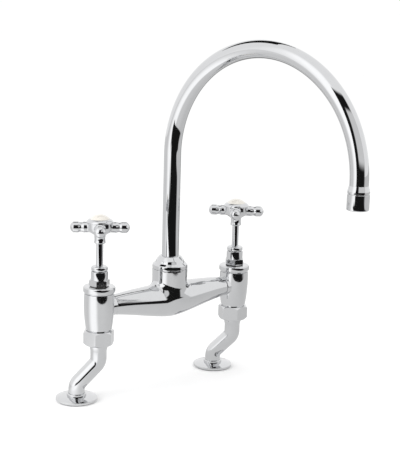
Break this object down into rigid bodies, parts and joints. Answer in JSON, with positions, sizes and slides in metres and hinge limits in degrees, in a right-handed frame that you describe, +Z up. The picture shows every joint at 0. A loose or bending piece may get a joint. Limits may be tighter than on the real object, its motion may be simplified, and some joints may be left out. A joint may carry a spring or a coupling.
{
  "type": "bridge mixer tap",
  "caption": "Deck-mounted bridge mixer with crosshead handles, porcelain buttons, cranked legs and a tall swivelling swan-neck spout.",
  "frame": {"origin": "point on the deck's top surface under the spout column's axis, midway between the valves", "axes": "+Z up, +X from the left valve to the right valve, -Y towards the user and the basin"},
  "size_m": [0.2729, 0.3095, 0.468],
  "materials": {
    "chrome": "polished",
    "porcelain": "glazed",
    "brass": "machined",
    "rubber": "matt",
    "fibre": "matt",
    "plastic": "matt",
    "steel": "plain"
  },
  "bodies": {
    "mixer_body": {"bridge": "chrome", "spout_cap": "chrome", "spout_wear_ring": "plastic", "left_valve_body": "chrome", "left_valve_seat": "brass", "left_bonnet": "chrome", "left_bonnet_washer": "fibre", "left_gland_nut": "chrome", "left_gland_packing": "fibre", "left_union_nut": "chrome", "left_union_washer": "fibre", "right_valve_body": "chrome", "right_valve_seat": "brass", "right_bonnet": "chrome", "right_bonnet_washer": "fibre", "right_gland_nut": "chrome", "right_gland_packing": "fibre", "right_union_nut": "chrome", "right_union_washer": "fibre"},
    "spout": {"spout_tube": "chrome", "spout_bush": "brass", "spout_o_rings": "rubber", "outlet_ferrule": "chrome", "nozzle": "chrome", "aerator_washer": "rubber", "aerator_insert": "plastic", "aerator_mesh": "steel"},
    "left_jumper_set": {"left_jumper": "brass", "left_tap_washer": "rubber", "left_washer_nut": "brass"},
    "left_handle": {"left_spindle": "chrome", "left_crosshead": "chrome", "left_handle_screw": "brass", "left_button_ring": "chrome", "left_porcelain_button": "porcelain"},
    "left_leg_set": {"left_leg": "chrome", "left_tail": "brass", "left_deck_flange": "chrome", "left_deck_gasket": "rubber", "left_back_washer": "steel", "left_back_nut": "brass"},
    "right_jumper_set": {"right_jumper": "brass", "right_tap_washer": "rubber", "right_washer_nut": "brass"},
    "right_handle": {"right_spindle": "chrome", "right_crosshead": "chrome", "right_handle_screw": "brass", "right_button_ring": "chrome", "right_porcelain_button": "porcelain"},
    "right_leg_set": {"right_leg": "chrome", "right_tail": "brass", "right_deck_flange": "chrome", "right_deck_gasket": "rubber", "right_back_washer": "steel", "right_back_nut": "brass"}
  },
  "joints": [
    {"name": "spout_swivel", "type": "hinge", "parent": "mixer_body", "child": "spout", "pos_m": [0, 0, 0.12], "axis": [0, 0, 1], "continuous": true},
    {"name": "left_spindle_rise", "type": "slide", "parent": "mixer_body", "child": "left_jumper_set", "axis": [0, 0, 1], "range_m": [0, 0.005]},
    {"name": "left_handle_turn", "type": "hinge", "parent": "left_jumper_set", "child": "left_handle", "pos_m": [-0.1, 0, 0.2032], "axis": [0, 0, 1], "range_deg": [0, 600]},
    {"name": "left_leg_swivel", "type": "hinge", "parent": "mixer_body", "child": "left_leg_set", "pos_m": [-0.1, 0, 0.07], "axis": [0, 0, 1], "continuous": true},
    {"name": "right_spindle_rise", "type": "slide", "parent": "mixer_body", "child": "right_jumper_set", "axis": [0, 0, 1], "range_m": [0, 0.005]},
    {"name": "right_handle_turn", "type": "hinge", "parent": "right_jumper_set", "child": "right_handle", "pos_m": [0.1, 0, 0.2032], "axis": [0, 0, 1], "range_deg": [0, 600]},
    {"name": "right_leg_swivel", "type": "hinge", "parent": "mixer_body", "child": "right_leg_set", "pos_m": [0.1, 0, 0.07], "axis": [0, 0, 1], "continuous": true}
  ],
  "couplings": [
    {"joint": "left_spindle_rise", "follows": "left_handle_turn", "m_per_rad": 0.00047746},
    {"joint": "right_spindle_rise", "follows": "right_handle_turn", "m_per_rad": 0.00047746}
  ]
}
